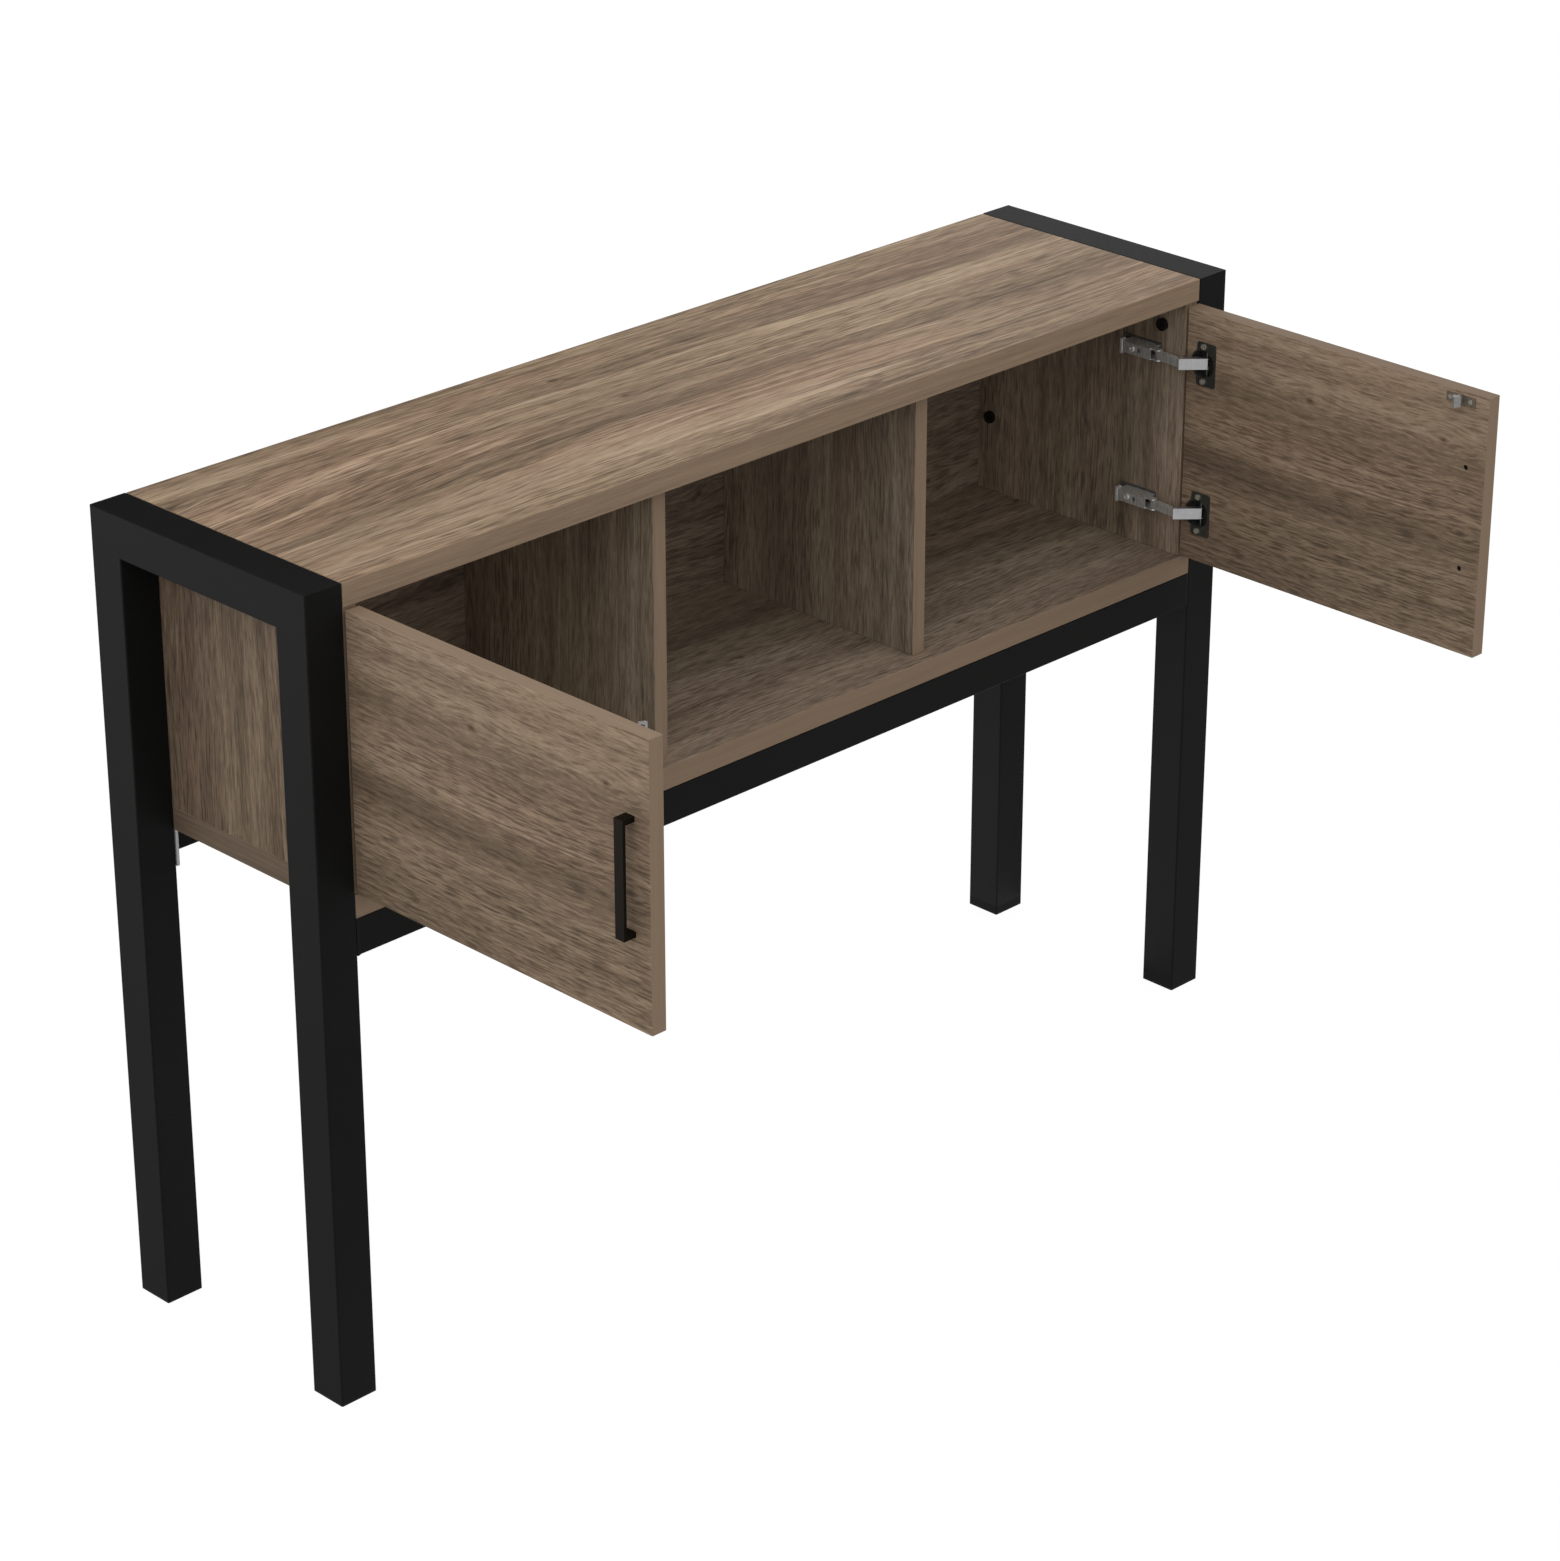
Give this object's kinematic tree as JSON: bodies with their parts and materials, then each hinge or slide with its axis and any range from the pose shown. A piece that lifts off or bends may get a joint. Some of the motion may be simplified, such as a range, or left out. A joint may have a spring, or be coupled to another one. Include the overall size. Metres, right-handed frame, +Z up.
{
  "type": "sideboard",
  "caption": "Long raised sideboard on square steel end frames, with a hinged door at each end of an open middle compartment.",
  "frame": {"origin": "on the floor, at the middle of the rectangle in which the four legs stand", "axes": "+X to the right for someone who faces the doors, +Y towards the back, +Z up"},
  "size_m": [1.2, 0.671, 0.8025],
  "materials": {
    "black_steel": "satin black powder coat",
    "glide_plastic": "matte moulded black",
    "zinc_steel": "bright zinc plating",
    "dark_steel": "dark nickel plating",
    "black_screw": "black oxide",
    "oak_board": "greyish brown oak laminate, grain along the width",
    "oak_upright": "greyish brown oak laminate, grain upright",
    "oak_door": "greyish brown oak laminate, grain across the door",
    "dowel_wood": "turned beech",
    "catch_plastic": "matte moulded black",
    "handle_black": "satin black lacquer"
  },
  "bodies": {
    "cabinet": {"left_front_leg": "black_steel", "left_back_leg": "black_steel", "left_top_bar": "black_steel", "right_front_leg": "black_steel", "right_back_leg": "black_steel", "right_top_bar": "black_steel", "leg_glides": "glide_plastic", "front_rail": "black_steel", "back_rail": "black_steel", "rail_end_plates": "zinc_steel", "rail_bolts": "black_screw", "top_board": "oak_board", "bottom_board": "oak_board", "left_side_panel": "oak_upright", "right_side_panel": "oak_upright", "left_divider": "oak_upright", "right_divider": "oak_upright", "back_panel": "oak_board", "frame_bolts": "black_screw", "rail_screws": "zinc_steel", "panel_screws": "zinc_steel", "panel_dowels": "dowel_wood", "back_screws": "zinc_steel", "hinge_plates": "zinc_steel", "hinge_plate_screws": "zinc_steel", "hinge_arms": "zinc_steel", "hinge_arm_screws": "zinc_steel", "hinge_arm_pins": "zinc_steel", "hinge_clips": "zinc_steel", "catch_housings": "catch_plastic", "catch_springs": "dark_steel", "catch_screws": "zinc_steel"},
    "left_door": {"left_door_panel": "oak_door", "left_handle": "handle_black", "left_handle_screws": "black_screw", "left_hinge_cups": "dark_steel", "left_cup_pins": "zinc_steel", "left_cup_screws": "zinc_steel", "left_striker": "dark_steel", "left_striker_screws": "zinc_steel"},
    "left_swing_links": {"left_swing_links": "zinc_steel"},
    "left_cup_links": {"left_cup_links": "zinc_steel", "left_knee_pins": "zinc_steel"},
    "right_door": {"right_door_panel": "oak_door", "right_handle": "handle_black", "right_handle_screws": "black_screw", "right_hinge_cups": "dark_steel", "right_cup_pins": "zinc_steel", "right_cup_screws": "zinc_steel", "right_striker": "dark_steel", "right_striker_screws": "zinc_steel"},
    "right_swing_links": {"right_swing_links": "zinc_steel"},
    "right_cup_links": {"right_cup_links": "zinc_steel", "right_knee_pins": "zinc_steel"}
  },
  "joints": [
    {"name": "left_door_hinge", "type": "hinge", "parent": "cabinet", "child": "left_door", "pos_m": [-0.5495, -0.1395, 0.644], "axis": [0, 0, -1], "range_deg": [-90, 5]},
    {"name": "left_swing_pivot", "type": "hinge", "parent": "cabinet", "child": "left_swing_links", "pos_m": [-0.5305, -0.1215, 0.644], "axis": [0, 0, -1], "range_deg": [-90, 5]},
    {"name": "left_knee_pivot", "type": "hinge", "parent": "left_swing_links", "child": "left_cup_links", "pos_m": [-0.528, -0.1536, 0.644], "axis": [0, 0, -1], "range_deg": [-5, 90]},
    {"name": "right_door_hinge", "type": "hinge", "parent": "cabinet", "child": "right_door", "pos_m": [0.5495, -0.1395, 0.644], "axis": [0, 0, 1], "range_deg": [-90, 5]},
    {"name": "right_swing_pivot", "type": "hinge", "parent": "cabinet", "child": "right_swing_links", "pos_m": [0.5305, -0.1215, 0.644], "axis": [0, 0, 1], "range_deg": [-90, 5]},
    {"name": "right_knee_pivot", "type": "hinge", "parent": "right_swing_links", "child": "right_cup_links", "pos_m": [0.528, -0.1536, 0.644], "axis": [0, 0, 1], "range_deg": [-5, 90]}
  ],
  "couplings": [
    {"joint": "left_swing_pivot", "follows": "left_door_hinge", "ratio": 1},
    {"joint": "left_knee_pivot", "follows": "left_door_hinge", "ratio": -1},
    {"joint": "right_swing_pivot", "follows": "right_door_hinge", "ratio": 1},
    {"joint": "right_knee_pivot", "follows": "right_door_hinge", "ratio": -1}
  ]
}
